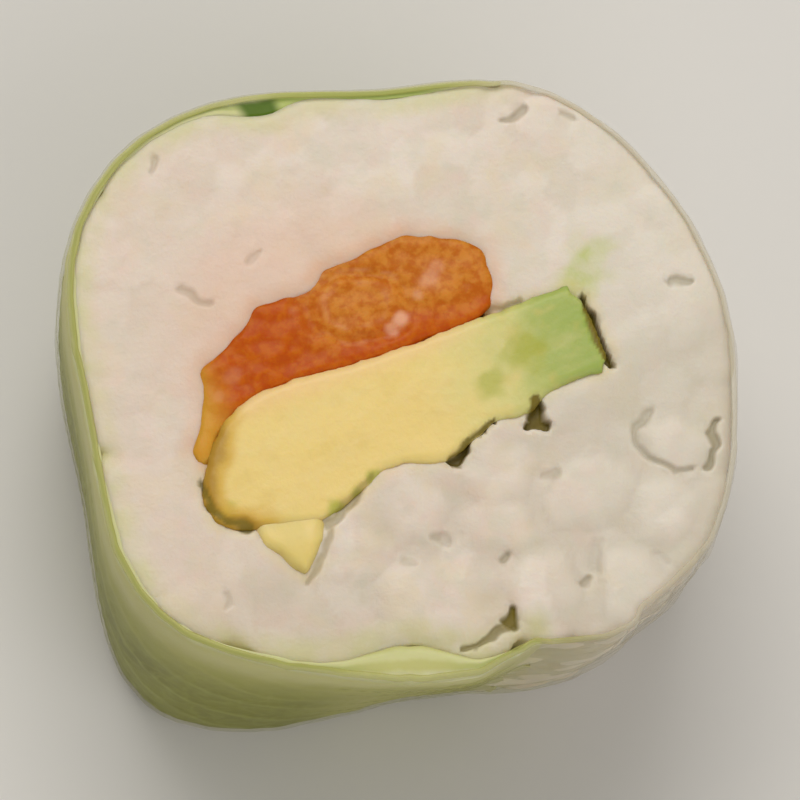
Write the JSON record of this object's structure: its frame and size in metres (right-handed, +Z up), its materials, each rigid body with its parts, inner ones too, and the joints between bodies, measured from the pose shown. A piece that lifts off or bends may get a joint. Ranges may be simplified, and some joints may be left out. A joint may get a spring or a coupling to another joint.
{
  "type": "sliced rice paper roll",
  "caption": "Thick slice of a rice paper roll standing on its cut face: lettuce and rice inside the clear skin, with salmon and avocado running through.",
  "frame": {"origin": "centre of the bounding box, at the level of the lower cut face that the slice stands on", "axes": "+Z up along the roll's own axis, towards the upper cut face; +X along the slice's longer side; +Y to the back"},
  "size_m": [0.0458, 0.0424, 0.027],
  "materials": {
    "rice_paper": "soaked rice paper: clear and milky, wet gloss, fine wrinkles",
    "lettuce": "fresh lettuce: satin, veined, pale at the midrib",
    "rice": "cooked short-grain rice, pressed and cut: moist satin, slightly clear at the edges",
    "salmon": "raw salmon: wet, deep orange with paler fat",
    "avocado": "ripe avocado: smooth, buttery satin, yellow turning green towards the skin end"
  },
  "bodies": {
    "root": {"rice_paper": "rice_paper", "lettuce_leaf": "lettuce", "rice": "rice", "salmon": "salmon", "avocado_slice": "avocado", "avocado_sliver": "avocado"}
  },
  "joints": []
}
